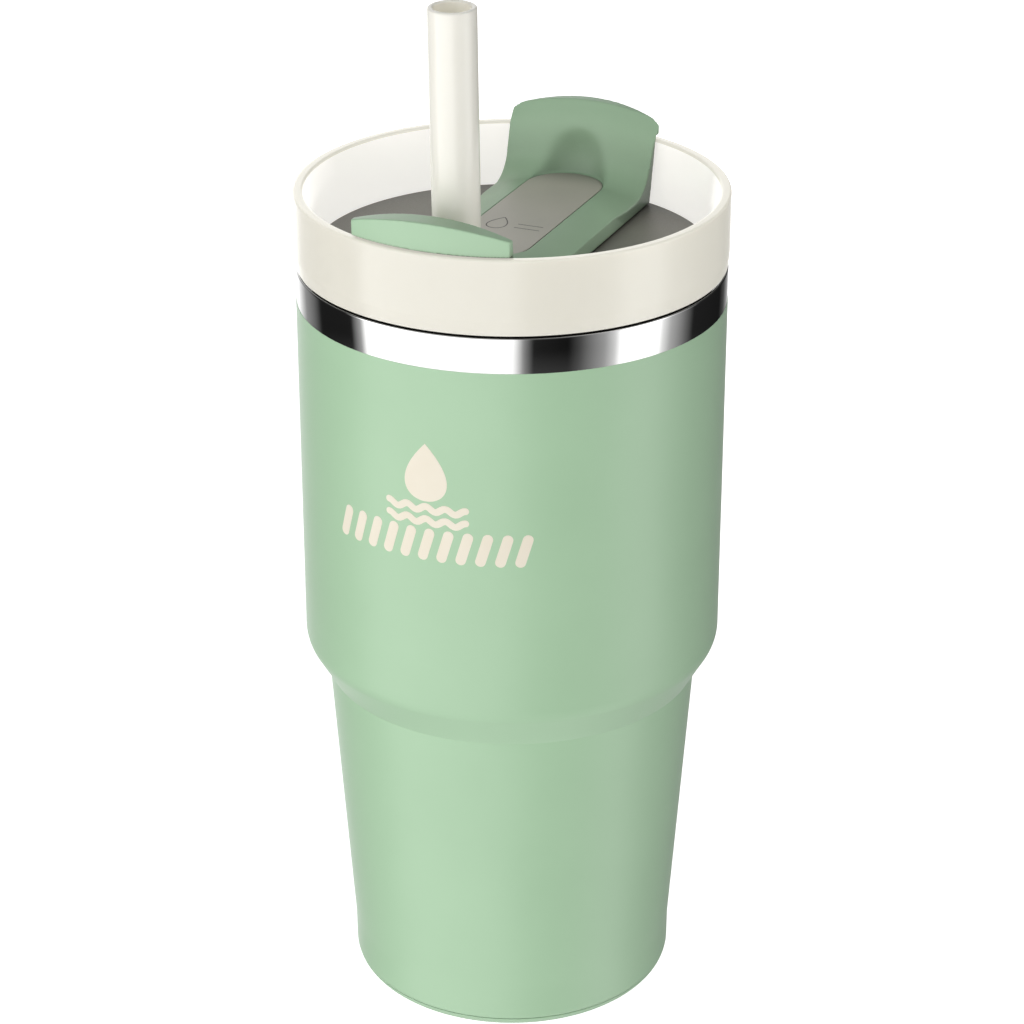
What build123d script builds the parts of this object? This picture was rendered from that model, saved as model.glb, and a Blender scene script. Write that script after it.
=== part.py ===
from build123d import *
import math
import os

os.makedirs("parts", exist_ok=True)

# Insulated straw tumbler. Millimetres, +Z up, the origin at the centre of the base on the table.
# The lid's bar lies along Y: the straw and the fin are towards -Y, the thumb tab towards +Y.

# Vessel: heights above the table and radii
LIP_Z = 167.1
BODY_R = 44.9
STEP_Z = 82.83
STEP_ROUND = 6.2
CREASE_R = 40.0
CREASE_Z = 74.5
CREASE_ROUND = 0.8
BAND_R = 35.51
BAND_Z = 10.46
BASE_R = 35.41
BASE_ROUND = 4.0
WALL = 0.55
SEAM_Z = 2.85
SEAM_GAP = 0.24
SPIGOT_R = 34.2
SPIGOT_TOP_Z = 7.0
VACUUM_GAP = 2.8
NECK_R = BODY_R - 2 * WALL - VACUUM_GAP
LINER_FLOOR_Z = 9.0
LINER_ROUND = 6.0
PLATE = 0.8
RECESS_R = 27.0
RECESS_DEPTH = 1.8
SEAL_R = 4.0
SEAL_T = 0.8
CAP_R = 12.0
CAP_T = 0.4
GETTER_R = 7.0
GETTER_T = 2.6

# Screw thread between the neck and the lid: two starts
THREAD_LEAD = 12.0
THREAD_STARTS = 2
THREAD_HEIGHT = 1.8
THREAD_TURN = 0.5
BEAD_Z = 154.6
BEAD_DEPTH = 1.1
THREAD_PLAY = 0.2

# Lid
LID_R = 45.0
RIM_Z = 183.25
FLOOR_Z = 169.33
RING_BOTTOM_Z = 167.5
WELL_TOP_R = 42.9
WELL_FLOOR_R = 41.38
DECK = 2.4
FLANGE_R = 43.4
FLANGE_TOP_Z = 168.9
SKIRT_R = 38.9
SKIRT_WALL = 2.0
SKIRT_BOTTOM_Z = 150.5
RIB_R = 40.5
GASKET_BOTTOM_Z = 162.2
GASKET_TOP_Z = 166.6
GASKET_LIP_R = 40.93
RING_TAPER = 3.0

# Rotating cover
GAP = 0.25
WALL_GAP = 0.15
BAR_HALF = 15.8
FOOT_HALF = 16.3
BAR_EDGE_Z = 172.4
CROWN_Z = 175.1
PLATE_TOP_Z = 174.33
PLATE_HALF = 8.45
PLATE_FAR_Y = 36.5
PLATE_NEAR_Y = -19.0
BADGE = 1.0
PLATE_FIT = 0.05
COVER_R = 41.0
SWING = 34.0
LIP_HALF = 16.95
LIP_R = 44.3
LIP_END_Z = 186.75
LIP_TOP_Z = 189.4
TAB_UNDER_Z = 184.15
FIN_UNDER_Z = 183.6
TOP_Z = 195.0
WAIST_Y = 18.0
SHOULDER_HALF = 17.5
SHOULDER_Y = 34.0
TAB_FACE_Y = 38.5
TAB_FACE_Z = 186.0
TAB_LEAN = 20.4
TAB_FLARE = 43.5
TAB_ROUND = 8.0
TAB_FLARE_R = 10.0
FIN_FACE_Y = 39.5
FIN_LEAN = 11.0
FIN_ROUND = 3.0
DISH_Y = 27.75
DISH_LOW_R = 8.4
DISH_R = 9.4
DISH_TOP_R = 7.6
DISH_HEIGHT = 12.5
DISH_LEAN = 12.0

# Pivot
BOSS_R = 5.0
BOSS_TOP_Z = 171.45
WASHER_R = 7.0
WASHER = 0.5
SCREW_R = 1.95
HEAD_R = 3.6
HEAD = 0.95
INSERT_R = 2.9
INSERT_BOTTOM_Z = 163.2
INSERT_TOP_Z = 170.6
BOSS_BOTTOM_Z = 161.6
RUNNING = 0.08
RING_SEAL_R = 9.0
SEAL_WIDTH = 1.8
SEAL_DEPTH = 1.4
PAD_WIDTH = 14.0

# Straw
STRAW_R = 4.85
STRAW_BORE_R = 3.75
STRAW_TOP = (0, -29.36, 228.24)
STRAW_LEAN = 1.7
STRAW_LENGTH = 217.5
GROMMET_R = 6.4
GROMMET_TOP_Z = 174.0
SLOT_R = 27.6
SLOT_WIDTH = 12.4

COVER_Z = FLOOR_Z + GAP
BODY_LINE = [
    (0, 0),
    (BASE_R, 0),
    (BAND_R, BAND_Z),
    (CREASE_R, CREASE_Z),
    (BODY_R, STEP_Z),
    (BODY_R, LIP_Z),
]
BODY_ROUNDS = [0, BASE_ROUND, 0, CREASE_ROUND, STEP_ROUND, 0]
STRAW_AXIS = Plane(
    origin=STRAW_TOP,
    x_dir=(1, 0, 0),
    z_dir=(0, -math.sin(math.radians(STRAW_LEAN)), math.cos(math.radians(STRAW_LEAN))),
)


def inset(line, depth):
    """Moves an outline of (radius, height) corners, drawn upwards, towards the inside by depth."""
    sides = [(Vector(*end) - Vector(*start)).normalized() for start, end in zip(line, line[1:])]
    normals = [Vector(-side.Y, side.X) for side in sides]
    moved = []
    for corner, before, after in zip(line, normals[:1] + normals, normals + normals[-1:]):
        shift = (before + after) * (depth / (1 + before.dot(after)))
        moved.append((corner[0] + shift.X, corner[1] + shift.Y))
    return moved


def region(line, rounds):
    """The half section between the axis and an outline that starts on the axis."""
    with BuildSketch(Plane.XZ) as half:
        with BuildLine():
            FilletPolyline(*line, (0, line[-1][1]), radius=rounds + [0], close=True)
        make_face()
    return half.sketch


def ring(inner, outer, low, high):
    """A rectangle of the half section, from radius inner to outer and from height low to high."""
    with BuildSketch(Plane.XZ) as half:
        with BuildLine():
            Polyline((inner, low), (outer, low), (outer, high), (inner, high), close=True)
        make_face()
    return half.sketch


def section(*corners):
    """Any closed polygon of the half section, by its (radius, height) corners."""
    with BuildSketch(Plane.XZ) as half:
        with BuildLine():
            Polyline(*corners, close=True)
        make_face()
    return half.sketch


def thread(root_r, crest_r, middle_z):
    """One start of the screw thread: a trapezoid rib along half a turn of helix."""
    height = THREAD_LEAD * THREAD_TURN
    with BuildPart() as rib:
        with BuildLine() as path:
            Helix(THREAD_LEAD, height, root_r, center=(0, 0, middle_z))
        with BuildSketch(Plane.XZ):
            with BuildLine():
                Polyline(
                    (root_r, middle_z - THREAD_HEIGHT / 2),
                    (crest_r, middle_z - THREAD_HEIGHT / 4),
                    (crest_r, middle_z + THREAD_HEIGHT / 4),
                    (root_r, middle_z + THREAD_HEIGHT / 2),
                    close=True,
                )
            make_face()
        sweep(path=path.line, is_frenet=True)
    return rib.part


# ---------------------------------------------------------------- vessel

# Deep-drawn outer shell: straight upper wall, rounded shoulder, cone, tapered lower wall
with BuildPart() as outer_shell:
    revolve(
        region(BODY_LINE, BODY_ROUNDS)
        - region(inset(BODY_LINE, WALL), BODY_ROUNDS)
        - ring(0, LID_R, 0, SEAM_Z + SEAM_GAP / 2)
    )
    rim = outer_shell.edges().filter_by(GeomType.CIRCLE).group_by(Axis.Z)[-1]
    fillet(rim.sort_by(SortBy.RADIUS)[-1], WALL * 0.7)
outer_shell.part.label = "outer_shell"
export_step(outer_shell.part, "parts/outer_shell.step")

# Base cup: closes the shell from below, with a spigot inside it and a recess under the middle
with BuildPart() as base_cup:
    revolve(
        (region(BODY_LINE, BODY_ROUNDS) - region(inset(BODY_LINE, PLATE), BODY_ROUNDS))
        & ring(0, LID_R, 0, SEAM_Z - SEAM_GAP / 2)
    )
    revolve(ring(SPIGOT_R - PLATE, SPIGOT_R, SEAM_Z - PLATE, SPIGOT_TOP_Z))
    revolve(ring(0, RECESS_R, 0, RECESS_DEPTH + PLATE))
    revolve(ring(0, RECESS_R - PLATE, 0, RECESS_DEPTH), mode=Mode.SUBTRACT)
base_cup.part.label = "base_cup"
export_step(base_cup.part, "parts/base_cup.step")

# Bead of solder glass that closes the pump-out hole, under the middle of the base cup
with BuildPart() as seal_bead:
    revolve(
        section(
            (0, RECESS_DEPTH),
            (SEAL_R, RECESS_DEPTH),
            (SEAL_R * 0.6, RECESS_DEPTH - SEAL_T),
            (0, RECESS_DEPTH - SEAL_T),
        )
    )
seal_bead.part.label = "seal_bead"
export_step(seal_bead.part, "parts/seal_bead.step")

# Pressed steel cap over the bead: a shallow dish with a flat rim
with BuildPart() as seal_cap:
    revolve(
        section(
            (0, RECESS_DEPTH - SEAL_T - CAP_T),
            (SEAL_R + CAP_T, RECESS_DEPTH - SEAL_T - CAP_T),
            (SEAL_R + 2 * CAP_T, RECESS_DEPTH - CAP_T),
            (CAP_R, RECESS_DEPTH - CAP_T),
            (CAP_R, RECESS_DEPTH),
            (SEAL_R + CAP_T, RECESS_DEPTH),
            (SEAL_R, RECESS_DEPTH - SEAL_T),
            (0, RECESS_DEPTH - SEAL_T),
        )
    )
seal_cap.part.label = "seal_cap"
export_step(seal_cap.part, "parts/seal_cap.step")

# Inner liner: follows the shell across the vacuum gap and turns out over it at the lip
LINER_OUT = inset(BODY_LINE, WALL + VACUUM_GAP)
LINER_FOOT_R = LINER_OUT[2][0] - 0.1
LINER_LINE = [(0, LINER_FLOOR_Z), (LINER_FOOT_R, LINER_FLOOR_Z), *LINER_OUT[3:]]
LINER_ROUNDS = [0, LINER_ROUND, CREASE_ROUND, STEP_ROUND, 0]
with BuildPart() as inner_liner:
    revolve(region(LINER_LINE, LINER_ROUNDS) - region(inset(LINER_LINE, WALL), LINER_ROUNDS))
    revolve(ring(NECK_R, BODY_R - WALL, LIP_Z - PLATE, LIP_Z))
    mouth = inner_liner.edges().filter_by(GeomType.CIRCLE).group_by(Axis.Z)[-1]
    fillet(mouth.sort_by(SortBy.RADIUS)[0], PLATE * 0.7)
    bead = thread(NECK_R + WALL / 2, NECK_R - BEAD_DEPTH, BEAD_Z)
    for start in range(THREAD_STARTS):
        add(bead.rotate(Axis.Z, 360 / THREAD_STARTS * start))
inner_liner.part.label = "inner_liner"
export_step(inner_liner.part, "parts/inner_liner.step")

# Getter: a pressed ring cup under the liner's floor, and the pellet of getter metal in it
with BuildPart() as getter_cup:
    revolve(ring(0, GETTER_R, LINER_FLOOR_Z - PLATE / 2, LINER_FLOOR_Z))
    revolve(ring(GETTER_R - PLATE / 2, GETTER_R, LINER_FLOOR_Z - GETTER_T, LINER_FLOOR_Z))
getter_cup.part.label = "getter_cup"
export_step(getter_cup.part, "parts/getter_cup.step")

with BuildPart() as getter_pellet:
    revolve(ring(0, GETTER_R - PLATE / 2, LINER_FLOOR_Z - GETTER_T, LINER_FLOOR_Z - PLATE / 2))
    fillet(getter_pellet.edges().filter_by(GeomType.CIRCLE).sort_by(Axis.Z)[0], PLATE / 2)
getter_pellet.part.label = "getter_pellet"
export_step(getter_pellet.part, "parts/getter_pellet.step")

# ---------------------------------------------------------------- lid

# Collar: the ring round the lid, with a conical well inside and a rebate below for the deck
with BuildPart() as lid_collar:
    with BuildSketch(Plane.XZ):
        with BuildLine():
            FilletPolyline(
                (WELL_TOP_R, RIM_Z),
                (LID_R, RIM_Z),
                (LID_R, RING_BOTTOM_Z + RING_TAPER),
                (LID_R - RING_TAPER / 12, RING_BOTTOM_Z),
                (FLANGE_R, RING_BOTTOM_Z),
                (FLANGE_R, FLANGE_TOP_Z),
                (WELL_FLOOR_R, FLANGE_TOP_Z),
                (WELL_FLOOR_R, FLOOR_Z),
                radius=[0.6, 0.5, 0, 0.3, 0, 0, 0, 0],
                close=True,
            )
        make_face()
    revolve()
lid_collar.part.label = "lid_collar"
export_step(lid_collar.part, "parts/lid_collar.step")

# Deck: the floor of the lid with its flange, threaded skirt, pivot boss and curved drinking opening
with BuildPart() as lid_deck:
    revolve(ring(0, SKIRT_R, FLOOR_Z - DECK, FLOOR_Z))
    revolve(ring(0, WELL_FLOOR_R, RING_BOTTOM_Z, FLOOR_Z))
    revolve(ring(0, FLANGE_R, RING_BOTTOM_Z, FLANGE_TOP_Z))
    revolve(ring(SKIRT_R - SKIRT_WALL, SKIRT_R, SKIRT_BOTTOM_Z, FLOOR_Z))
    revolve(ring(SKIRT_R - SKIRT_WALL, SKIRT_R + PLATE, GASKET_BOTTOM_Z - 1.5 * PLATE, GASKET_BOTTOM_Z))
    revolve(ring(0, BOSS_R, FLOOR_Z, BOSS_TOP_Z))
    revolve(ring(0, BOSS_R + PLATE, BOSS_BOTTOM_Z, FLOOR_Z))
    revolve(ring(0, INSERT_R, INSERT_BOTTOM_Z, BOSS_TOP_Z), mode=Mode.SUBTRACT)
    with BuildSketch(Plane.XY.offset(FLOOR_Z)):
        SlotArc(CenterArc((0, 0), SLOT_R, -90, SWING), SLOT_WIDTH)
    extrude(amount=-2 * DECK, mode=Mode.SUBTRACT)
    rib = thread(SKIRT_R - WALL, RIB_R, BEAD_Z - THREAD_HEIGHT - THREAD_PLAY)
    for start in range(THREAD_STARTS):
        add(rib.rotate(Axis.Z, 360 / THREAD_STARTS * start))
lid_deck.part.label = "lid_deck"
export_step(lid_deck.part, "parts/lid_deck.step")

# Lid gasket: silicone sleeve round the skirt with two sealing lips against the neck
LIP_STEP = (GASKET_TOP_Z - GASKET_BOTTOM_Z) / 5
GASKET_INNER_R = SKIRT_R + RUNNING
GASKET_BODY_R = GASKET_LIP_R - PLATE
with BuildPart() as lid_gasket:
    revolve(ring(GASKET_INNER_R, GASKET_BODY_R, GASKET_BOTTOM_Z, GASKET_TOP_Z))
    for lip in (1, 3):
        low = GASKET_BOTTOM_Z + lip * LIP_STEP
        revolve(
            section(
                (GASKET_BODY_R - PLATE / 2, low),
                (GASKET_LIP_R, low + LIP_STEP / 2),
                (GASKET_LIP_R, low + LIP_STEP * 0.8),
                (GASKET_BODY_R - PLATE / 2, low + LIP_STEP),
            )
        )
lid_gasket.part.label = "lid_gasket"
export_step(lid_gasket.part, "parts/lid_gasket.step")

# Brass insert moulded into the boss
with BuildPart() as pivot_insert:
    revolve(ring(SCREW_R + RUNNING, INSERT_R, INSERT_BOTTOM_Z, INSERT_TOP_Z))
pivot_insert.part.label = "pivot_insert"
export_step(pivot_insert.part, "parts/pivot_insert.step")

# Washer on the boss, over the cover's ledge
with BuildPart() as pivot_washer:
    revolve(ring(SCREW_R + RUNNING, WASHER_R, BOSS_TOP_Z, BOSS_TOP_Z + WASHER))
pivot_washer.part.label = "pivot_washer"
export_step(pivot_washer.part, "parts/pivot_washer.step")

# Low-head screw with a hexagon socket
HEAD_Z = BOSS_TOP_Z + WASHER
with BuildPart() as pivot_screw:
    revolve(ring(0, HEAD_R, HEAD_Z, HEAD_Z + HEAD))
    revolve(ring(0, SCREW_R, INSERT_BOTTOM_Z + WASHER, HEAD_Z))
    fillet(pivot_screw.edges().filter_by(GeomType.CIRCLE).sort_by(Axis.Z)[-1], HEAD / 3)
    with BuildSketch(Plane.XY.offset(HEAD_Z + HEAD)):
        RegularPolygon(SCREW_R * 0.6, 6)
    extrude(amount=-HEAD * 0.7, mode=Mode.SUBTRACT)
pivot_screw.part.label = "pivot_screw"
export_step(pivot_screw.part, "parts/pivot_screw.step")

# ---------------------------------------------------------------- rotating cover

LEDGE_Z = BOSS_TOP_Z - GAP
POCKET_Z = PLATE_TOP_Z - BADGE
STADIUM_Y = (PLATE_FAR_Y + PLATE_NEAR_Y) / 2
STADIUM_LENGTH = PLATE_FAR_Y - PLATE_NEAR_Y
WALL_R = WELL_TOP_R - WALL_GAP
CROWN_RISE = CROWN_Z - BAR_EDGE_Z
CROWN_R = (BAR_HALF**2 + CROWN_RISE**2) / (2 * CROWN_RISE)
DISH_ANGLE = math.radians(DISH_LEAN)
DISH_AXIS = Plane(
    origin=(0, DISH_Y, PLATE_TOP_Z),
    x_dir=(1, 0, 0),
    z_dir=(0, -math.cos(DISH_ANGLE), math.sin(DISH_ANGLE)),
)


def upright(way, under_z):
    """A block at one end of the bar, along the wall of the well, with a lip that stands out over the rim."""
    with BuildPart() as block:
        with BuildSketch(Plane.XZ):
            with BuildLine():
                top = ThreePointArc((-LIP_HALF, LIP_END_Z), (0, LIP_TOP_Z), (LIP_HALF, LIP_END_Z))
                Polyline(top @ 1, (FOOT_HALF, COVER_Z), (-FOOT_HALF, COVER_Z), top @ 0)
            make_face()
        extrude(amount=-way * LID_R)
        with BuildSketch(Plane.XY):
            with BuildLine():
                Polyline(
                    (BAR_HALF, way * WAIST_Y),
                    (SHOULDER_HALF, way * SHOULDER_Y),
                    (SHOULDER_HALF, way * LID_R),
                    (-SHOULDER_HALF, way * LID_R),
                    (-SHOULDER_HALF, way * SHOULDER_Y),
                    (-BAR_HALF, way * WAIST_Y),
                    close=True,
                )
            make_face()
        extrude(amount=TOP_Z, mode=Mode.INTERSECT)
        with BuildSketch(Plane.XZ):
            with BuildLine():
                Polyline(
                    (0, COVER_Z),
                    (COVER_R, COVER_Z),
                    (WALL_R, under_z),
                    (LIP_R, under_z),
                    (LIP_R, TOP_Z),
                    (0, TOP_Z),
                    close=True,
                )
            make_face()
        revolve(mode=Mode.INTERSECT)
    return block.part


def lean(height, angle):
    """How far a face that leans by an angle moves sideways over a height."""
    return height * math.tan(math.radians(angle))


# Drafted bar between the two uprights
with BuildPart() as bar:
    with BuildSketch(Plane.XZ):
        with BuildLine():
            Polyline(
                (FOOT_HALF, COVER_Z),
                (BAR_HALF, BAR_EDGE_Z),
                (BAR_HALF, CROWN_Z + GAP),
                (-BAR_HALF, CROWN_Z + GAP),
                (-BAR_HALF, BAR_EDGE_Z),
                (-FOOT_HALF, COVER_Z),
                close=True,
            )
        make_face()
    extrude(amount=LID_R, both=True)
    revolve(ring(0, COVER_R, COVER_Z, TOP_Z), mode=Mode.INTERSECT)

# Room above the cover: fin face, crown and tab face seen from the side, turned about the crown's axis
TAB_FOOT_Y = TAB_FACE_Y - lean(TAB_FACE_Z - CROWN_Z, TAB_LEAN)
FIN_FOOT_Y = lean(LIP_TOP_Z - CROWN_Z, FIN_LEAN) - FIN_FACE_Y
with BuildPart() as room:
    with BuildSketch(Plane.YZ):
        with BuildLine():
            FilletPolyline(
                (FIN_FOOT_Y - lean(TOP_Z - CROWN_Z, FIN_LEAN), TOP_Z),
                (FIN_FOOT_Y, CROWN_Z),
                (TAB_FOOT_Y, CROWN_Z),
                (TAB_FACE_Y, TAB_FACE_Z),
                (TAB_FACE_Y + lean(TOP_Z - TAB_FACE_Z, TAB_FLARE), TOP_Z),
                radius=[0, FIN_ROUND, TAB_ROUND, TAB_FLARE_R, 0],
                close=True,
            )
        make_face()
    revolve(axis=Axis((0, 0, CROWN_Z - CROWN_R), (0, 1, 0)))

# Barrel-shaped scoop in the tab's inner face, which rises from the end of the badge plate
with BuildPart() as dish:
    with BuildSketch(DISH_AXIS):
        with BuildLine():
            side = ThreePointArc((DISH_LOW_R, 0), (DISH_R, DISH_HEIGHT / 2), (DISH_TOP_R, DISH_HEIGHT))
            Polyline(side @ 1, (0, DISH_HEIGHT), (0, 0), side @ 0)
        make_face()
    revolve(axis=Axis(DISH_AXIS.origin, DISH_AXIS.y_dir))
    split(bisect_by=Plane.XY.offset(PLATE_TOP_Z), keep=Keep.TOP)

# Rotating cover: one moulding of bar, fin and dished thumb tab
with BuildPart() as rotating_cover:
    add(upright(1, TAB_UNDER_Z))
    add(upright(-1, FIN_UNDER_Z))
    add(bar.part)
    add(room.part, mode=Mode.SUBTRACT)
    add(dish.part, mode=Mode.SUBTRACT)
    with BuildSketch(Plane.XY.offset(POCKET_Z)):
        with Locations((0, STADIUM_Y)):
            SlotOverall(STADIUM_LENGTH, 2 * PLATE_HALF, rotation=90)
    extrude(amount=CROWN_Z + GAP - POCKET_Z, mode=Mode.SUBTRACT)
    revolve(ring(0, BOSS_R + RUNNING, COVER_Z, POCKET_Z), mode=Mode.SUBTRACT)
    revolve(ring(0, WASHER_R + GAP, LEDGE_Z, POCKET_Z), mode=Mode.SUBTRACT)
    revolve(ring(RING_SEAL_R, RING_SEAL_R + SEAL_WIDTH, COVER_Z, COVER_Z + SEAL_DEPTH), mode=Mode.SUBTRACT)
    with BuildSketch(Plane.XY.offset(COVER_Z)):
        SlotArc(CenterArc((0, 0), SLOT_R, 90 - SWING / 2, SWING), PAD_WIDTH)
    extrude(amount=SEAL_DEPTH, mode=Mode.SUBTRACT)
    with BuildSketch(STRAW_AXIS):
        Circle(GROMMET_R)
    extrude(amount=-STRAW_LENGTH / 2, mode=Mode.SUBTRACT)
rotating_cover.part.label = "rotating_cover"
export_step(rotating_cover.part, "parts/rotating_cover.step")

# Badge plate: a flat inlay with rounded ends, flush with the crown of the bar
with BuildPart() as badge_plate:
    with BuildSketch(Plane.XY.offset(POCKET_Z)):
        with Locations((0, STADIUM_Y)):
            SlotOverall(STADIUM_LENGTH - 2 * PLATE_FIT, 2 * (PLATE_HALF - PLATE_FIT), rotation=90)
    extrude(amount=BADGE)
    chamfer(badge_plate.faces().sort_by(Axis.Z)[-1].edges(), PLATE_FIT)
badge_plate.part.label = "badge_plate"
export_step(badge_plate.part, "parts/badge_plate.step")

# Hub seal: a silicone ring in the groove round the hub, just clear of the deck
with BuildPart() as hub_seal:
    revolve(ring(RING_SEAL_R, RING_SEAL_R + SEAL_WIDTH, FLOOR_Z + RUNNING, COVER_Z + SEAL_DEPTH))
    fillet(hub_seal.edges().filter_by(GeomType.CIRCLE).group_by(Axis.Z)[0], SEAL_WIDTH / 3)
hub_seal.part.label = "hub_seal"
export_step(hub_seal.part, "parts/hub_seal.step")

# Opening seal: a silicone pad under the tab that covers the drinking opening when the cover is shut
with BuildPart() as opening_seal:
    with BuildSketch(Plane.XY.offset(FLOOR_Z + RUNNING)):
        SlotArc(CenterArc((0, 0), SLOT_R, 90 - SWING / 2, SWING), PAD_WIDTH)
    extrude(amount=COVER_Z + SEAL_DEPTH - FLOOR_Z - RUNNING)
opening_seal.part.label = "opening_seal"
export_step(opening_seal.part, "parts/opening_seal.step")

# Straw grommet: a silicone bush in the bar, in line with the straw
with BuildPart() as straw_grommet:
    with BuildSketch(STRAW_AXIS):
        Circle(GROMMET_R)
        Circle(STRAW_R + RUNNING, mode=Mode.SUBTRACT)
    extrude(amount=-STRAW_LENGTH / 2)
    split(bisect_by=Plane.XY.offset(COVER_Z), keep=Keep.TOP)
    split(bisect_by=Plane.XY.offset(GROMMET_TOP_Z), keep=Keep.BOTTOM)
straw_grommet.part.label = "straw_grommet"
export_step(straw_grommet.part, "parts/straw_grommet.step")

# ---------------------------------------------------------------- straw

with BuildPart() as straw:
    with BuildSketch(STRAW_AXIS):
        Circle(STRAW_R)
        Circle(STRAW_BORE_R, mode=Mode.SUBTRACT)
    extrude(amount=-STRAW_LENGTH)
    fillet(straw.edges().filter_by(GeomType.CIRCLE), (STRAW_R - STRAW_BORE_R) / 3)
straw.part.label = "straw"
export_step(straw.part, "parts/straw.step")
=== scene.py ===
import math

import bmesh
import bpy
from mathutils import Matrix, Vector


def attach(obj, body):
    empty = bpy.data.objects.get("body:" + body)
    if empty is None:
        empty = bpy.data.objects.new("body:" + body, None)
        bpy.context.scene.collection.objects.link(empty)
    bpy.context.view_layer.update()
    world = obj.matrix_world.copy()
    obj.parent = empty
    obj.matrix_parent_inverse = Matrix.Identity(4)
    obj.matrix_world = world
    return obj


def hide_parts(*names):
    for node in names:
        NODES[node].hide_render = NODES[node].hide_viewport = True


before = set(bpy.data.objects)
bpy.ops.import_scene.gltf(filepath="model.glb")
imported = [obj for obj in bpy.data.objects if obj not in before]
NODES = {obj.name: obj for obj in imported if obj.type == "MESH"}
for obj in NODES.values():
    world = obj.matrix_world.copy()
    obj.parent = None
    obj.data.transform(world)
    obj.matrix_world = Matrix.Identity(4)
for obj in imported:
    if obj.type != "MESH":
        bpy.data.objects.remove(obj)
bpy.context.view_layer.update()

MM = 0.001

# Vessel, in millimetres: outlines are corners of (radius, height, rounding)
BODY_R = 44.9
PAINT_TOP_Z = 159.7
LIP_Z = 167.1
STEEL_R = 44.83
SEAM_LOW_Z, SEAM_HIGH_Z = 2.73, 2.97
OUTLINE = [
    (0, 0, 0),
    (35.41, 0, 4.0),
    (35.51, 10.46, 30.0),
    (40.0, 74.5, 0.8),
    (BODY_R, 82.83, 6.2),
    (BODY_R, PAINT_TOP_Z, 0),
]
SHELL = 0.5
RECESS = [(0, 1.8, 0), (26.2, 1.8, 0.5), (26.8, 0.02, 0.4), (28.5, 0, 0)]
BASE_TOP_Z = 2.6
SPIGOT_R, SPIGOT_INNER_R, SPIGOT_TOP_Z = 34.2, 33.4, 7.0

# Edges of the vessel: how far the paint's upper edge moves (in, up) as it thins out, how far its lower edge
# and the base cup's upper edge turn in at the seam, and how far the steel goes down behind the paint
PAINT_EDGE = [(0.03, 0.05), (0.1, 0.06)]
WALL_TURN_IN, WALL_TURN_DOWN = 0.08, 0.02
CUP_TURN_IN, CUP_TURN_UP = 0.1, 0.03
LIP_LAP, LIP_ROUND = 2.0, 0.35

# Lid: its inner wall's painted glow stops a band short of the rim, and a band at the ring's foot takes the
# deck's grey as painted shade
LID_R, RIM_Z = 45.0, 183.25
WELL_TOP_R, WELL_FLOOR_R = 42.9, 41.38
FLOOR_Z = 169.33
RING_BOTTOM_Z = 167.5
FLANGE_R, FLANGE_TOP_Z = 43.4, 168.9
RIM_BAND, SHADED_UNDERSIDE_BAND = 0.55, 0.12

# Badge plate, whose edge is (inset, height above its top), and straw
PLATE_HALF, PLATE_NEAR_Y, PLATE_FAR_Y = 8.4, -18.95, 36.45
PLATE_TOP_Z, PLATE_T = 174.33, 1.0
PLATE_EDGE = [(0.1, -PLATE_T), (0, 0.1 - PLATE_T), (0, -0.12), (0.04, -0.03), (0.13, 0), (0.6, 0)]
STRAW_R, STRAW_BORE_R, STRAW_LENGTH = 4.85, 3.75, 217.5
STRAW_RIM = 0.4
STRAW_LEAN = math.radians(1.7)
STRAW_TOP = Vector((0, -29.36, 228.24))

# Cover: the size of its cells, and how often its edges and then its dish are relaxed
COVER_CELL, QUICK_CELL = 0.2, 0.4
EDGE_PASSES, DISH_PASSES = 4, 450
POCKET_REACH, POCKET_FREEDOM = 0.9, 0.12
POCKET_LOW_Z, POCKET_HIGH_Z = PLATE_TOP_Z - 1.3, PLATE_TOP_Z + 1.0
DISH_SIDE, DISH_LOW_Z, DISH_TOP_Z = 14.5, PLATE_TOP_Z + 0.3, 189.0
DISH_FADE, DISH_LOW_FADE = 3.5, 1.5
TAB_NEAR_Y, TAB_BACK_R = 24, 42.3

# Print on the wall: its middle lies this far round from -Y towards +X, and its faces stand this far out
PRINT_AZIMUTH = math.radians(0.3)
PRINT_LOW_R, PRINT_R = 44.8, 44.94
BARS, BAR_PITCH, BAR_LOW_Z, BAR_HIGH_Z = 11, 4.05, 118.9, 123.9
BAR_LEAN, BAR_HALF_WIDTH = 0.75, 1.1
WAVE_HALF, WAVE_HEIGHT, WAVE_RATE, WAVE_HALF_WIDTH = 8.4, 0.5, 1.5, 0.75
WAVE_ZS, WAVE_STEPS = (129.3, 126.6), 24
DROP_WIDTH, DROP_HEIGHT, DROP_Z = 12.0, 12.6, 130.9
DROP_SIDES, DROP_COLUMNS = 64, 5

# Mark on the badge plate
LINE_HALF_WIDTH = 0.12
LINE_FROM_X, LINE_TO_X, LINE_Y, LINE_PITCH = 0.8, 6.2, 1.6, 2.2
MARK_DROP_X, MARK_DROP_Y, MARK_DROP_WIDTH, MARK_DROP_HEIGHT = -3.4, -2.4, 5.4, 6.8
MARK_TOP, MARK_DEPTH = 0.012, 0.1

# Camera: it stands at an azimuth of 22.95 degrees and looks 25 degrees down
CAMERA_AT = (0.23163, -0.54701, 0.3861)
CAMERA_AZIMUTH = math.radians(22.95)
CAMERA_TILT = math.radians(65.011)
CAMERA_LENS = 106.99

# Floor, in metres: half its width, and how far it lies below the foot
FLOOR_HALF, FLOOR_GAP = 6.0, 0.0002

# Meshes: sides of a turned solid, steps in the rounded end of a stripe, and the first one's share of a step
SEGMENTS, STRAW_SEGMENTS = 288, 96
END_STEPS, END_START = 6, 0.4


# ------------------------------------------------------------------ materials


def linear(rgb):
    """An sRGB colour of 0 to 255 as the linear colour that the shaders take."""
    return [(c / 255 / 12.92) if c <= 10 else ((c / 255 + 0.055) / 1.055) ** 2.4 for c in rgb]


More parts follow.
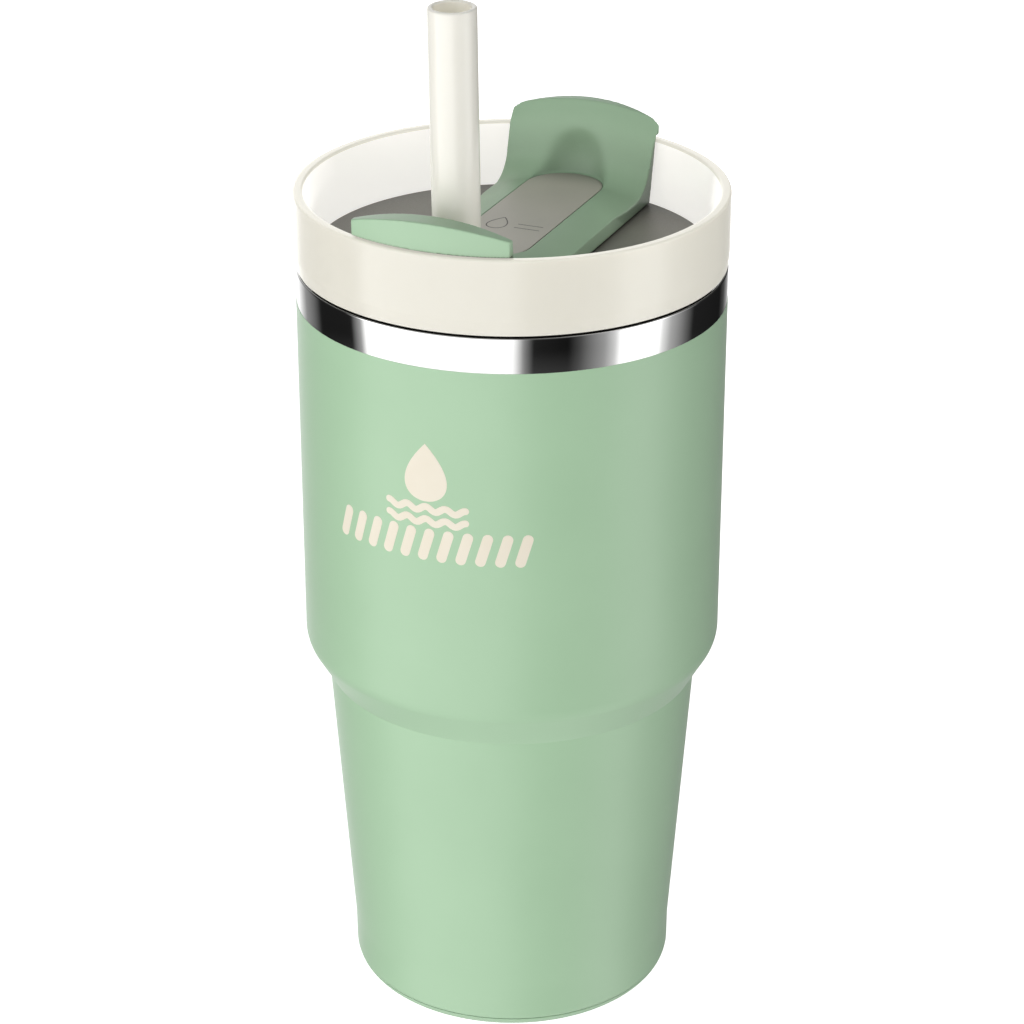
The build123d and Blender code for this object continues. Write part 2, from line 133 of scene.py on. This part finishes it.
def shader(name):
    """A new material: (material, its node tree, its Principled shader)."""
    made = bpy.data.materials.new(name)
    made.use_nodes = True
    return made, made.node_tree, made.node_tree.nodes["Principled BSDF"]


def noise(tree, scale, detail=3.0, stretch=(1, 1, 1)):
    """Noise in the row frame. Scale is in waves per metre. Returns its Fac socket."""
    place = tree.nodes.new("ShaderNodeTexCoord")
    fit = tree.nodes.new("ShaderNodeMapping")
    fit.inputs["Scale"].default_value = stretch
    waves = tree.nodes.new("ShaderNodeTexNoise")
    waves.inputs["Scale"].default_value = scale
    waves.inputs["Detail"].default_value = detail
    tree.links.new(place.outputs["Object"], fit.inputs["Vector"])
    tree.links.new(fit.outputs["Vector"], waves.inputs["Vector"])
    return waves.outputs["Fac"]


def ramp(tree, source, stops):
    """A colour ramp on a socket: stops are (position, colour). Returns its Color socket."""
    node = tree.nodes.new("ShaderNodeValToRGB")
    while len(node.color_ramp.elements) < len(stops):
        node.color_ramp.elements.new(0.5)
    for element, (position, colour) in zip(node.color_ramp.elements, stops):
        element.position = position
        element.color = (*colour, 1)
    tree.links.new(source, node.inputs["Fac"])
    return node.outputs["Color"]


def scaled(tree, source, low, high, to_low, to_high):
    """A socket's value moved from one range to another. Returns its Result socket."""
    node = tree.nodes.new("ShaderNodeMapRange")
    for name, value in (("From Min", low), ("From Max", high), ("To Min", to_low), ("To Max", to_high)):
        node.inputs[name].default_value = value
    tree.links.new(source, node.inputs["Value"])
    return node.outputs["Result"]


def finish(
    name, colour, other, roughness, *, grain, patch, bump, relief, stretch=(1, 1, 1), painted_shade_reach=0, **fixed
):
    """A surface whose colour drifts between two tones, with a fine grain in its roughness and bump.

    Grain and patch are in waves per metre, relief in millimetres. The shade reach is the distance in
    millimetres over which inner corners are darkened with painted shade, or 0 for none. What is fixed goes
    to the shader's own sockets."""
    made, tree, principled = shader(name)
    tone = ramp(tree, noise(tree, patch, stretch=stretch), [(0.3, linear(colour)), (0.7, linear(other))])
    # Painted shade: ambient occlusion darkens the colour in inner corners and recesses
    if painted_shade_reach:
        corners = tree.nodes.new("ShaderNodeAmbientOcclusion")
        corners.inputs["Distance"].default_value = painted_shade_reach * MM
        tree.links.new(tone, corners.inputs["Color"])
        tone = corners.outputs["Color"]
    tree.links.new(tone, principled.inputs["Base Color"])
    fine = noise(tree, grain, 4.0, stretch)
    spread = scaled(tree, fine, 0.3, 0.7, roughness * 0.88, roughness * 1.12)
    tree.links.new(spread, principled.inputs["Roughness"])
    lift = tree.nodes.new("ShaderNodeBump")
    lift.inputs["Strength"].default_value = bump
    lift.inputs["Distance"].default_value = relief * MM
    tree.links.new(fine, lift.inputs["Height"])
    tree.links.new(lift.outputs["Normal"], principled.inputs["Normal"])
    for socket, value in fixed.items():
        principled.inputs[socket.replace("_", " ")].default_value = value
    return made


CREAM_GRAIN = dict(grain=1400, patch=70, bump=0.05, relief=0.01)
CREAM_SOFT = dict(
    Subsurface_Weight=1.0,
    Subsurface_Radius=(1.0, 0.97, 0.9),
    Subsurface_Scale=0.006,
    Coat_Weight=0.3,
    Coat_Roughness=0.08,
)
MARK_GRAIN = dict(grain=3000, patch=120, bump=0.2, relief=0.01)

POWDER = finish(
    "powder_coat",
    (176, 211, 175),
    (179, 214, 178),
    0.36,
    grain=2200,
    patch=45,
    bump=0.3,
    relief=0.03,
    Coat_Weight=0.08,
    Coat_Roughness=0.3,
    Sheen_Weight=0.35,
    Sheen_Roughness=0.4,
)
POLISHED = finish(
    "polished_steel",
    (232, 232, 231),
    (236, 236, 235),
    0.06,
    grain=700,
    patch=40,
    bump=0.02,
    relief=0.003,
    stretch=(1, 1, 4),
    Metallic=1.0,
)
BRUSHED = finish(
    "brushed_steel",
    (196, 195, 192),
    (208, 207, 204),
    0.3,
    grain=900,
    patch=80,
    bump=0.2,
    relief=0.01,
    stretch=(1, 1, 10),
    Metallic=1.0,
)
# Ring plastic: its emission is a painted glow, standing in for light passing through the translucent ring
# and lifting it all round
CREAM = finish(
    "cream_plastic",
    (154, 151, 141),
    (157, 154, 144),
    0.2,
    Emission_Color=(1, 0.975, 0.87, 1),
    Emission_Strength=0.53,
    **CREAM_GRAIN,
    **CREAM_SOFT,
)
# Ring plastic for the inner wall: a stronger painted glow, standing in for light that the backlit ring lets
# through
CREAM_PAINTED_GLOW = finish(
    "cream_plastic_painted_glow",
    (170, 168, 162),
    (173, 171, 165),
    0.2,
    Emission_Color=(1, 0.985, 0.95, 1),
    Emission_Strength=0.72,
    **CREAM_GRAIN,
    **CREAM_SOFT,
)
# Deck grey: darkened in its inner corners by painted shade
GREY = finish(
    "grey_plastic",
    (142, 140, 131),
    (147, 144, 135),
    0.42,
    grain=2600,
    patch=60,
    bump=0.3,
    relief=0.02,
    painted_shade_reach=14,
)
# Cover sage: darkened in its inner corners by painted shade
SAGE = finish(
    "sage_plastic",
    (176, 209, 175),
    (179, 212, 178),
    0.4,
    grain=2600,
    patch=60,
    bump=0.2,
    relief=0.02,
    painted_shade_reach=20,
)
# Badge plate: darkened at its pocket edges and corners by painted shade
BADGE = finish(
    "badge_plastic",
    (203, 200, 187),
    (208, 204, 191),
    0.38,
    grain=3000,
    patch=90,
    bump=0.25,
    relief=0.015,
    painted_shade_reach=10,
)
INK = finish("print_ink", (243, 234, 214), (246, 238, 220), 0.45, **MARK_GRAIN)
ENGRAVED = finish("engraved_mark", (112, 108, 101), (122, 118, 110), 0.6, **MARK_GRAIN)
RUBBER = finish(
    "silicone",
    (214, 213, 206),
    (221, 220, 213),
    0.5,
    grain=2000,
    patch=80,
    bump=0.15,
    relief=0.02,
    Subsurface_Weight=0.2,
    Subsurface_Scale=0.002,
)
BRASS = finish(
    "brass",
    (196, 160, 88),
    (206, 171, 98),
    0.28,
    grain=1200,
    patch=90,
    bump=0.15,
    relief=0.01,
    Metallic=1.0,
)
GLASS = finish(
    "solder_glass",
    (70, 74, 70),
    (84, 88, 82),
    0.15,
    grain=1500,
    patch=300,
    bump=0.1,
    relief=0.01,
)
GETTER = finish(
    "getter_metal",
    (120, 118, 114),
    (134, 131, 126),
    0.6,
    grain=3500,
    patch=300,
    bump=0.5,
    relief=0.05,
    Metallic=0.7,
)
# Straw: its faint warm emission is a painted glow, brightening it as if light passed through it
STRAW = finish(
    "straw_plastic",
    (255, 251, 237),
    (255, 252, 240),
    0.22,
    grain=900,
    patch=50,
    bump=0.08,
    relief=0.01,
    stretch=(1, 1, 0.15),
    Subsurface_Weight=0.35,
    Subsurface_Radius=(1.0, 0.98, 0.92),
    Subsurface_Scale=0.003,
    Emission_Color=(1, 0.965, 0.83, 1),
    Emission_Strength=0.065,
    Coat_Weight=0.2,
    Coat_Roughness=0.1,
)


# ------------------------------------------------------------------ meshes


def piece(name, mesh, body, finishes, replaced=()):
    """A visible piece: its mesh is in metres in the row frame, and it rides on a body."""
    made = bpy.data.objects.new(name, mesh)
    bpy.context.scene.collection.objects.link(made)
    mesh.materials.clear()
    for finish_of in finishes:
        mesh.materials.append(finish_of)
    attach(made, body)
    if replaced:
        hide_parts(*replaced)
    return made


def rounded(corners, closed=False, steps=10):
    """An outline of (radius, height, rounding) corners as dense (radius, height) points."""
    points = []
    count = len(corners)
    for index, (x, z, r) in enumerate(corners):
        here = Vector((x, z))
        if r == 0 or (not closed and index in (0, count - 1)):
            points.append(here)
            continue
        before = Vector(corners[index - 1][:2]) - here
        after = Vector(corners[(index + 1) % count][:2]) - here
        half = before.angle(after) / 2
        reach = r / math.tan(half)
        start, end = here + before.normalized() * reach, here + after.normalized() * reach
        centre = here + (before.normalized() + after.normalized()).normalized() * (r / math.sin(half))
        first, last = start - centre, end - centre
        turn = first.angle_signed(last)
        for step in range(steps + 1):
            angle = -turn * step / steps
            across = first.x * math.cos(angle) - first.y * math.sin(angle)
            up = first.x * math.sin(angle) + first.y * math.cos(angle)
            points.append(centre + Vector((across, up)))
    return [(p.x, p.y) for p in points]


def lathe(name, outline, axis=None, segments=SEGMENTS):
    """A closed solid of revolution about Z from a closed (radius, height) outline in millimetres."""
    shape = bmesh.new()
    rings = []
    turns = [2 * math.pi * k / segments for k in range(segments)]
    for r, z in outline:
        if r < 1e-6:
            rings.append([shape.verts.new((0, 0, z * MM))])
        else:
            ring = [(r * MM * math.cos(turn), r * MM * math.sin(turn), z * MM) for turn in turns]
            rings.append([shape.verts.new(point) for point in ring])
    for a, b in zip(rings, rings[1:] + rings[:1]):
        if len(a) == 1 and len(b) == 1:
            continue
        for k in range(segments):
            n = (k + 1) % segments
            corners = [a[k % len(a)], a[n % len(a)], b[n % len(b)], b[k % len(b)]]
            shape.faces.new(list(dict.fromkeys(corners)))
    bmesh.ops.recalc_face_normals(shape, faces=shape.faces)
    for face in shape.faces:
        face.smooth = True
    if axis:
        shape.transform(axis)
    mesh = bpy.data.meshes.new(name)
    shape.to_mesh(mesh)
    shape.free()
    return mesh


def even(made):
    """Weights the shading by face area, so that large flat faces stay flat beside small roundings."""
    weigh = made.modifiers.new("even", "WEIGHTED_NORMAL")
    weigh.weight = 100
    weigh.keep_sharp = True


def cut(outline, low, high):
    """The part of an open outline between two heights, with new end points on them."""
    kept = []
    for (r0, z0), (r1, z1) in zip(outline, outline[1:]):
        if z1 <= z0 or z1 < low or z0 > high:
            continue
        for z in (max(z0, low), min(z1, high)):
            kept.append((r0 + (r1 - r0) * (z - z0) / (z1 - z0), z))
    return [p for p, q in zip(kept, kept[1:] + [None]) if p != q]


# Painted wall of the vessel, from the seam at the foot to the bare lip
outline = rounded(OUTLINE, steps=16)
wall = cut(outline, SEAM_HIGH_Z, PAINT_TOP_Z)
edge = [(BODY_R - inward, PAINT_TOP_Z + rise) for inward, rise in PAINT_EDGE]
foot = [(wall[0][0] - WALL_TURN_IN, SEAM_HIGH_Z - WALL_TURN_DOWN)]
inner = [(r - SHELL, z) for r, z in reversed(wall)]
body_mesh = lathe("body_wall", foot + wall + edge + inner)
even(piece("body_wall", body_mesh, "vessel", [POWDER], ["outer_shell"]))

# Bare polished lip of the vessel above the paint
lip = rounded(
    [
        (STEEL_R, PAINT_TOP_Z - LIP_LAP, 0),
        (STEEL_R, LIP_Z, LIP_ROUND),
        (STEEL_R - SHELL, LIP_Z, 0),
        (STEEL_R - SHELL, PAINT_TOP_Z - LIP_LAP, 0),
    ],
    closed=True,
)
even(piece("steel_lip", lathe("steel_lip", lip), "vessel", [POLISHED], ["outer_shell"]))

# Base cup under the seam, with the recess in its middle
low_wall = cut(outline, 0.0, SEAM_LOW_Z)
spigot = [
    (low_wall[-1][0] - CUP_TURN_IN, SEAM_LOW_Z + CUP_TURN_UP),
    (SPIGOT_R, SEAM_LOW_Z + CUP_TURN_UP),
    (SPIGOT_R, SPIGOT_TOP_Z),
    (SPIGOT_INNER_R, SPIGOT_TOP_Z),
    (SPIGOT_INNER_R, BASE_TOP_Z),
    (0, BASE_TOP_Z),
]
low_wall = [(r, z) for r, z in low_wall if z > 0.001]
base_mesh = lathe("base_shell", rounded(RECESS) + low_wall + spigot)
even(piece("base_shell", base_mesh, "vessel", [POWDER], ["base_cup"]))

# Collar of the lid: a translucent ring with soft edges
collar = rounded(
    [
        (WELL_TOP_R, RIM_Z, 0.6),
        (LID_R, RIM_Z, 0.5),
        (LID_R, RING_BOTTOM_Z + 3.0, 2.0),
        (LID_R - 0.25, RING_BOTTOM_Z, 0.3),
        (FLANGE_R, RING_BOTTOM_Z, 0),
        (FLANGE_R, FLANGE_TOP_Z, 0),
        (WELL_FLOOR_R, FLANGE_TOP_Z, 0),
        (WELL_FLOOR_R, FLOOR_Z, 0),
    ],
    closed=True,
)
ring_mesh = lathe("lid_ring", collar)
even(piece("lid_ring", ring_mesh, "lid", [CREAM, CREAM_PAINTED_GLOW, GREY], ["lid_collar"]))

# Its inner wall carries a stronger painted glow than its outside, and its underside is painted dark grey as
# painted shade in the gap over the lip
for polygon in ring_mesh.polygons:
    outward = polygon.normal.x * polygon.center.x + polygon.normal.y * polygon.center.y
    if outward < 0 and FLOOR_Z * MM < polygon.center.z < (RIM_Z - RIM_BAND) * MM:
        polygon.material_index = 1
    elif polygon.center.z < (RING_BOTTOM_Z + SHADED_UNDERSIDE_BAND) * MM:
        polygon.material_index = 2

# Straw: a tube with rounded rims, laid on its leaning axis
tube = rounded(
    [
        (STRAW_R, -STRAW_LENGTH, STRAW_RIM),
        (STRAW_R, 0, STRAW_RIM),
        (STRAW_BORE_R, 0, STRAW_RIM),
        (STRAW_BORE_R, -STRAW_LENGTH, STRAW_RIM),
    ],
    closed=True,
)
lean = Matrix.Translation(STRAW_TOP * MM) @ Matrix.Rotation(STRAW_LEAN, 4, "X")
tube_mesh = lathe("straw_tube", tube, lean, STRAW_SEGMENTS)
even(piece("straw_tube", tube_mesh, "straw", [STRAW], ["straw"]))


def evaluated(made):
    """Replaces an object's mesh by the result of its modifiers."""
    depsgraph = bpy.context.evaluated_depsgraph_get()
    result = bpy.data.meshes.new_from_object(made.evaluated_get(depsgraph))
    made.modifiers.clear()
    made.data = result
    return result


def relaxed(made, name, iterations, freedom):
    """Smooths an object's mesh, each vertex as far as freedom() says of its place in millimetres."""
    group = made.vertex_groups.new(name=name)
    for vertex in made.data.vertices:
        group.add([vertex.index], freedom(vertex.co / MM), "REPLACE")
    relax = made.modifiers.new(name, "SMOOTH")
    relax.factor = 0.5
    relax.iterations = iterations
    relax.vertex_group = name
    return evaluated(made)


def moulded(node, name, voxel, passes):
    """A soft-edged copy of a CAD solid: remeshed in cells, then relaxed by (iterations, freedom) passes."""
    shape = bmesh.new()
    shape.from_mesh(NODES[node].data)
    bmesh.ops.remove_doubles(shape, verts=shape.verts, dist=1e-6)
    mesh = bpy.data.meshes.new(name)
    shape.to_mesh(mesh)
    shape.free()
    made = bpy.data.objects.new(name + "_work", mesh)
    bpy.context.scene.collection.objects.link(made)
    cells = made.modifiers.new("cells", "REMESH")
    cells.mode = "VOXEL"
    cells.voxel_size = voxel * MM
    evaluated(made)
    for index, (iterations, freedom) in enumerate(passes):
        mesh = relaxed(made, f"pass_{index}", iterations, freedom)
    bpy.data.objects.remove(made)
    for polygon in mesh.polygons:
        polygon.use_smooth = True
    mesh.name = name
    return mesh


def stadium_distance(p):
    """Distance of a point from the edge of the badge plate's stadium, seen from above."""
    middle = min(max(p.y, PLATE_NEAR_Y + PLATE_HALF), PLATE_FAR_Y - PLATE_HALF)
    return abs(math.hypot(p.x, p.y - middle) - PLATE_HALF)


def cover_freedom(p):
    """How far the cover may relax at a point: hardly at the badge's pocket, fully elsewhere."""
    at_pocket = POCKET_LOW_Z < p.z < POCKET_HIGH_Z
    return POCKET_FREEDOM if at_pocket and stadium_distance(p) < POCKET_REACH else 1.0


def dish_freedom(p):
    """How far the thumb dish may relax further: fully in its middle, not at all outside it."""
    side = min(max((DISH_SIDE - abs(p.x)) / DISH_FADE, 0), 1)
    low = min(max((p.z - DISH_LOW_Z) / DISH_LOW_FADE, 0), 1)
    high = min(max((DISH_TOP_Z - p.z) / DISH_FADE, 0), 1)
    on_tab = p.y > TAB_NEAR_Y and math.hypot(p.x, p.y) < TAB_BACK_R
    return side * low * high if on_tab else 0.0


cell = COVER_CELL
softening = [(EDGE_PASSES, cover_freedom), (DISH_PASSES, dish_freedom)]
cover_mesh = moulded("rotating_cover", "cover_moulding", cell, softening)
piece("cover_moulding", cover_mesh, "cover", [SAGE], ["rotating_cover"])


# Badge plate: a flat inlay with rounded ends and a fine chamfer
def stadium(inset, z, steps=40):
    """Points round the badge plate's edge, moved in by inset, in metres."""
    half = PLATE_HALF - inset
    points = []
    for middle, start in ((PLATE_FAR_Y - PLATE_HALF, 0.0), (PLATE_NEAR_Y + PLATE_HALF, math.pi)):
        for step in range(steps + 1):
            angle = start + math.pi * step / steps
            points.append(Vector((half * math.cos(angle), middle + half * math.sin(angle), z)) * MM)
    return points


plate = bmesh.new()
loops = []
for inset, rise in PLATE_EDGE:
    loops.append([plate.verts.new(p) for p in stadium(inset, PLATE_TOP_Z + rise)])
for a, b in zip(loops, loops[1:]):
    for k in range(len(a)):
        n = (k + 1) % len(a)
        plate.faces.new((a[k], a[n], b[n], b[k]))
plate.faces.new(loops[-1])
plate.faces.new(list(reversed(loops[0])))
for face in plate.faces:
    face.smooth = True
plate_mesh = bpy.data.meshes.new("badge_inlay")
plate.to_mesh(plate_mesh)
plate.free()
even(piece("badge_inlay", plate_mesh, "cover", [BADGE], ["badge_plate"]))


def stroke(points, half_width, closed=False):
    """A stripe along a path of (across, up) points, as quads. An open stripe has rounded ends."""
    path = [Vector(p) for p in points]
    if not closed:
        path = [path[0]] * END_STEPS + path[1:-1] + [path[-1]] * END_STEPS
    count = len(path)
    sides = []
    for index, here in enumerate(path):
        near, far = path[(index - 1) % count], path[(index + 1) % count]
        if not closed:
            near = next((q for q in reversed(path[:index]) if q != here), here)
            far = next((q for q in path[index + 1 :] if q != here), here)
        run = (far - near).normalized()
        half, ahead = half_width, 0.0
        to_end = min(index, count - 1 - index)
        if not closed and to_end < END_STEPS:
            turn = math.pi / 2 * (to_end + END_START) / (END_STEPS - 1 + END_START)
            outward = -1 if index < END_STEPS else 1
            half, ahead = half_width * math.sin(turn), outward * half_width * math.cos(turn)
        middle, out = here + run * ahead, Vector((-run.y, run.x)) * half
        sides.append((middle + out, middle - out))
    pairs = list(zip(sides, sides[1:] + (sides[:1] if closed else [])))
    return [(a[0], a[1], b[1], b[0]) for a, b in pairs]


def path_between(start, end, steps):
    """Evenly spaced points from start to end."""
    return [Vector(start).lerp(Vector(end), k / steps) for k in range(steps + 1)]


def raised(name, quads, place):
    """A thin solid over flat quads: place(across, up, level) gives a corner, level 0 below and 1 on top."""
    shape = bmesh.new()
    found = {}

    def corner(point, level):
        key = (round(point.x, 4), round(point.y, 4), level)
        if key not in found:
            found[key] = shape.verts.new(place(point.x, point.y, level))
        return found[key]

    edges = {}
    for quad in quads:
        for a, b in zip(quad, quad[1:] + quad[:1]):
            key = frozenset(((round(a.x, 4), round(a.y, 4)), (round(b.x, 4), round(b.y, 4))))
            edges.setdefault(key, []).append((a, b))
        shape.faces.new([corner(p, 1) for p in quad])
        shape.faces.new([corner(p, 0) for p in reversed(quad)])
    for uses in edges.values():
        if len(uses) == 1:
            a, b = uses[0]
            shape.faces.new((corner(b, 1), corner(a, 1), corner(a, 0), corner(b, 0)))
    bmesh.ops.recalc_face_normals(shape, faces=shape.faces)
    mesh = bpy.data.meshes.new(name)
    shape.to_mesh(mesh)
    shape.free()
    return mesh


def drop(width, height, base):
    """The outline of a drop standing on a height, as (across, up) points from its tip round to its tip."""
    points = []
    for k in range(DROP_SIDES):
        turn = 2 * math.pi * (k + 0.5) / DROP_SIDES
        across = width / 2 * math.sin(turn) * math.sin(turn / 2)
        points.append((across, base + height / 2 * (1 + math.cos(turn))))
    return points


# Print on the wall: a drop over two waves, and under them a row of leaning bars
right_side = drop(DROP_WIDTH, DROP_HEIGHT, DROP_Z)[: DROP_SIDES // 2]
marks = []
for (x0, z0), (x1, z1) in zip(right_side, right_side[1:]):
    for k in range(-DROP_COLUMNS, DROP_COLUMNS):
        low, high = k / DROP_COLUMNS, (k + 1) / DROP_COLUMNS
        quad = (x0 * low, z0), (x0 * high, z0), (x1 * high, z1), (x1 * low, z1)
        marks.append(tuple(Vector(p) for p in quad))
for middle_z in WAVE_ZS:
    places = [x * WAVE_HALF / WAVE_STEPS for x in range(-WAVE_STEPS, WAVE_STEPS + 1)]
    wave = [(x, middle_z + WAVE_HEIGHT * math.cos(x * WAVE_RATE)) for x in places]
    marks += stroke(wave, WAVE_HALF_WIDTH)
for bar in range(BARS):
    middle = BAR_PITCH * (bar - (BARS - 1) / 2)
    ends = (middle - BAR_LEAN, BAR_LOW_Z), (middle + BAR_LEAN, BAR_HIGH_Z)
    marks += stroke(path_between(*ends, 8), BAR_HALF_WIDTH)


def on_wall(across, up, level):
    """A point of the print on the curved wall, in metres."""
    r = PRINT_R if level else PRINT_LOW_R
    angle = PRINT_AZIMUTH + across / BODY_R
    return Vector((r * math.sin(angle), -r * math.cos(angle), up)) * MM


piece("wall_print", raised("wall_print", marks, on_wall), "vessel", [INK])


def on_plate(across, up, level):
    """A point of the mark on the badge plate, in metres: it reads from the straw's side."""
    return Vector((across, up, PLATE_TOP_Z + (MARK_TOP if level else -MARK_DEPTH))) * MM


# Mark on the badge plate: a drop and two short lines
mark_drop = drop(MARK_DROP_WIDTH, MARK_DROP_HEIGHT, MARK_DROP_Y)
lines = stroke([(x + MARK_DROP_X, y) for x, y in mark_drop], LINE_HALF_WIDTH, closed=True)
for row in range(2):
    y = LINE_Y - LINE_PITCH * row
    lines += stroke(path_between((LINE_FROM_X, y), (LINE_TO_X, y), 4), LINE_HALF_WIDTH)
piece("plate_mark", raised("plate_mark", lines, on_plate), "cover", [ENGRAVED])


# ------------------------------------------------------------------ CAD nodes that stay

KEPT = {
    "inner_liner": BRUSHED,
    "seal_cap": BRUSHED,
    "seal_bead": GLASS,
    "getter_cup": BRUSHED,
    "getter_pellet": GETTER,
    "lid_deck": GREY,
    "lid_gasket": RUBBER,
    "pivot_insert": BRASS,
    "pivot_washer": BRUSHED,
    "pivot_screw": POLISHED,
    "hub_seal": RUBBER,
    "opening_seal": RUBBER,
    "straw_grommet": RUBBER,
}
for node_name, node_finish in KEPT.items():
    kept = NODES[node_name]
    for slot in kept.material_slots:
        slot.material = node_finish
    if not kept.material_slots:
        kept.data.materials.append(node_finish)


# ------------------------------------------------------------------ stage

camera_data = bpy.data.cameras.new("camera")
camera_data.lens = CAMERA_LENS
camera_data.sensor_width = 36
camera_data.clip_start = 0.01
camera = bpy.data.objects.new("camera", camera_data)
camera.location = CAMERA_AT
camera.rotation_euler = (CAMERA_TILT, 0, CAMERA_AZIMUTH)
bpy.context.scene.collection.objects.link(camera)
bpy.context.scene.camera = camera
bpy.context.scene.view_settings.view_transform = "Standard"

# Floor: a plain white sweep
floor_shape = bmesh.new()
bmesh.ops.create_grid(floor_shape, x_segments=8, y_segments=8, size=FLOOR_HALF)
floor_mesh = bpy.data.meshes.new("floor")
floor_shape.to_mesh(floor_mesh)
floor_shape.free()
floor = bpy.data.objects.new("floor", floor_mesh)
floor.location = (0, 0, -FLOOR_GAP)
bpy.context.scene.collection.objects.link(floor)
floor_look, _, floor_shader = shader("floor_white")
floor_shader.inputs["Base Color"].default_value = (0.9, 0.9, 0.9, 1)
floor_shader.inputs["Emission Color"].default_value = (1, 1, 1, 1)
floor_shader.inputs["Emission Strength"].default_value = 1.0
floor_shader.inputs["Roughness"].default_value = 0.9
floor_mesh.materials.append(floor_look)
floor.visible_diffuse = False
floor.visible_glossy = False
floor.visible_transmission = False
floor.visible_shadow = False

# Studio light: soft panels all round, as (direction, brightness). Directions are in degrees round from
# where the camera stands, positive towards its right. Levels are (height, share of that brightness), and
# fill is (height, light added), where height runs from 0, straight down, to 1, straight up.
LIGHT = 1.69
LEVELS = [(0.0, 0.15), (0.2, 0.52), (0.42, 0.96), (0.5, 1.0), (0.75, 0.48), (1.0, 0.09)]
FILL = [(0.0, 0.2), (0.3, 0.0), (0.55, 0.0), (1.0, 0.08)]
PANELS = [
    (-180, 1.0),
    (-160, 1.0),
    (-154, 0.75),
    (-142, 0.25),
    (-130, 0.12),
    (-122, 0.01),
    (-94, 0.01),
    (-87, 0.33),
    (-82, 1.4),
    (-50, 1.25),
    (0, 1.12),
    (6, 0.22),
    (11, 0.012),
    (30, 0.006),
    (36, 0.055),
    (50, 0.3),
    (56, 0.6),
    (61, 1.35),
    (83, 1.35),
    (87, 0.75),
    (93, 0.37),
    (105, 0.12),
    (112, 0.012),
    (145, 0.008),
    (154, 0.06),
    (166, 0.33),
    (172, 0.75),
    (180, 1.0),
]
world = bpy.data.worlds.new("studio")
bpy.context.scene.world = world
world.use_nodes = True
sky = world.node_tree
direction = sky.nodes.new("ShaderNodeTexCoord").outputs["Generated"]


def along(vector):
    """How far the light's direction points along a vector."""
    node = sky.nodes.new("ShaderNodeVectorMath")
    node.operation = "DOT_PRODUCT"
    node.inputs[1].default_value = vector
    sky.links.new(direction, node.inputs[0])
    return node.outputs["Value"]


def shades(source, stops):
    """A ramp of light over a socket: stops are (position, brightness). Returns its Color socket."""
    return ramp(sky, source, [(position, (light, light, light)) for position, light in stops])


across = sky.nodes.new("ShaderNodeMath")
across.operation = "ARCTAN2"
sky.links.new(along((math.cos(CAMERA_AZIMUTH), math.sin(CAMERA_AZIMUTH), 0)), across.inputs[0])
sky.links.new(along((math.sin(CAMERA_AZIMUTH), -math.cos(CAMERA_AZIMUTH), 0)), across.inputs[1])
turn_share = scaled(sky, across.outputs["Value"], -math.pi, math.pi, 0, 1)
panels = shades(turn_share, [((degrees + 180) / 360, light) for degrees, light in PANELS])
height = scaled(sky, along((0, 0, 1)), -1, 1, 0, 1)
level = shades(height, LEVELS)
fill = shades(height, FILL)
shaped = sky.nodes.new("ShaderNodeVectorMath")
shaped.operation = "MULTIPLY_ADD"
sky.links.new(panels, shaped.inputs[0])
sky.links.new(level, shaped.inputs[1])
sky.links.new(fill, shaped.inputs[2])
lamp = sky.nodes["Background"]
sky.links.new(shaped.outputs["Vector"], lamp.inputs["Color"])
lamp.inputs["Strength"].default_value = LIGHT
plain = sky.nodes.new("ShaderNodeBackground")
plain.inputs["Color"].default_value = (1, 1, 1, 1)
seen = sky.nodes.new("ShaderNodeLightPath")
either = sky.nodes.new("ShaderNodeMixShader")
sky.links.new(seen.outputs["Is Camera Ray"], either.inputs["Fac"])
sky.links.new(lamp.outputs["Background"], either.inputs[1])
sky.links.new(plain.outputs["Background"], either.inputs[2])
sky.links.new(either.outputs["Shader"], sky.nodes["World Output"].inputs["Surface"])
